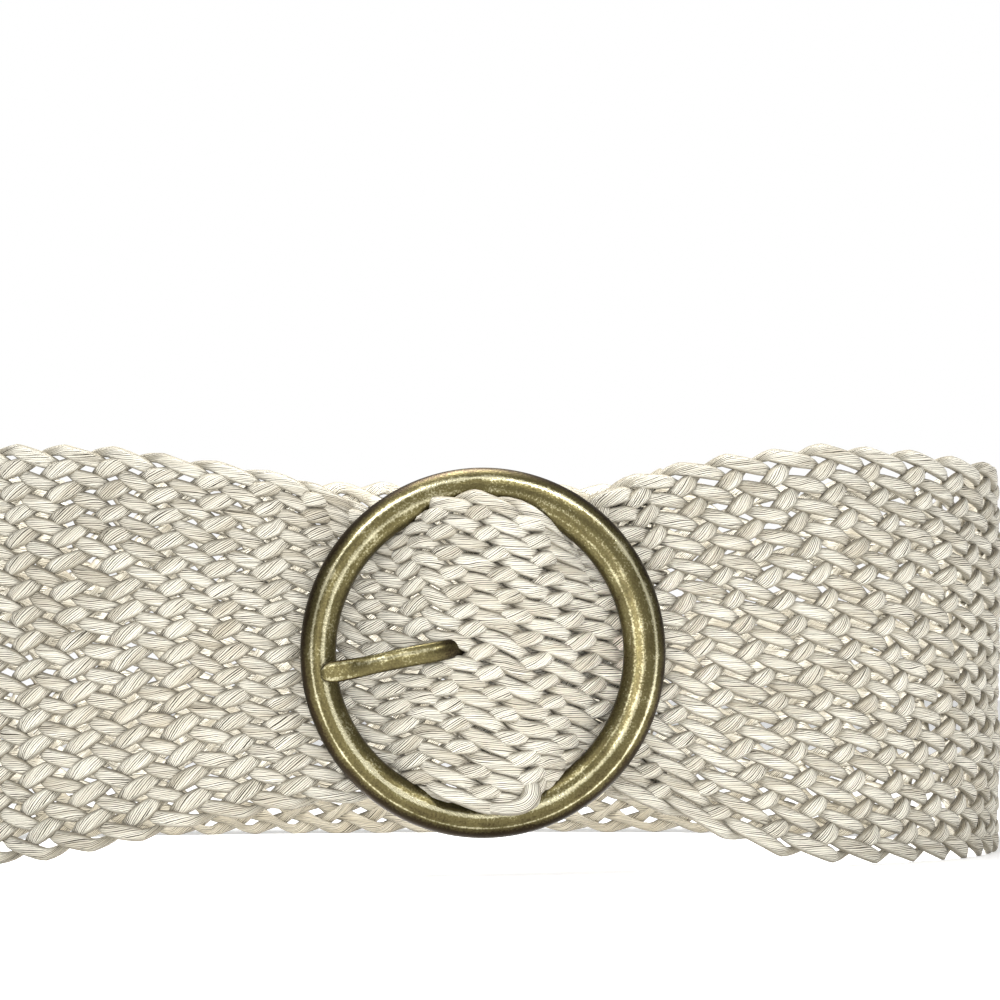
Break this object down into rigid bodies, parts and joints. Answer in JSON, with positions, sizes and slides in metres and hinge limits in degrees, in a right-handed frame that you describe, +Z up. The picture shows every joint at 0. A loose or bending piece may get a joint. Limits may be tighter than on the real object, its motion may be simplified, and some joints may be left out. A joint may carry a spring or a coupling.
{
  "type": "braided waist belt",
  "caption": "Wide flat belt braided from off-white cord, fastened in a hoop through a round brass ring buckle with a centre bar and one prong.",
  "frame": {"origin": "middle of the fastened hoop's footprint, on the surface that it stands on", "axes": "+X to the right along the belt's front seen from the wearer's front, +Y from the buckle to the back, +Z up"},
  "size_m": [0.3128, 0.2156, 0.103],
  "materials": {
    "antique_brass": "aged olive brass, rubbed bright along the ridge, brown in the hollows",
    "braided_cord": "off-white twisted plant-fibre cord, flat braided, matt with a faint sheen along the fibres"
  },
  "bodies": {
    "root": {"buckle_frame": "antique_brass", "prong": "antique_brass", "woven_band": "braided_cord"}
  },
  "joints": []
}
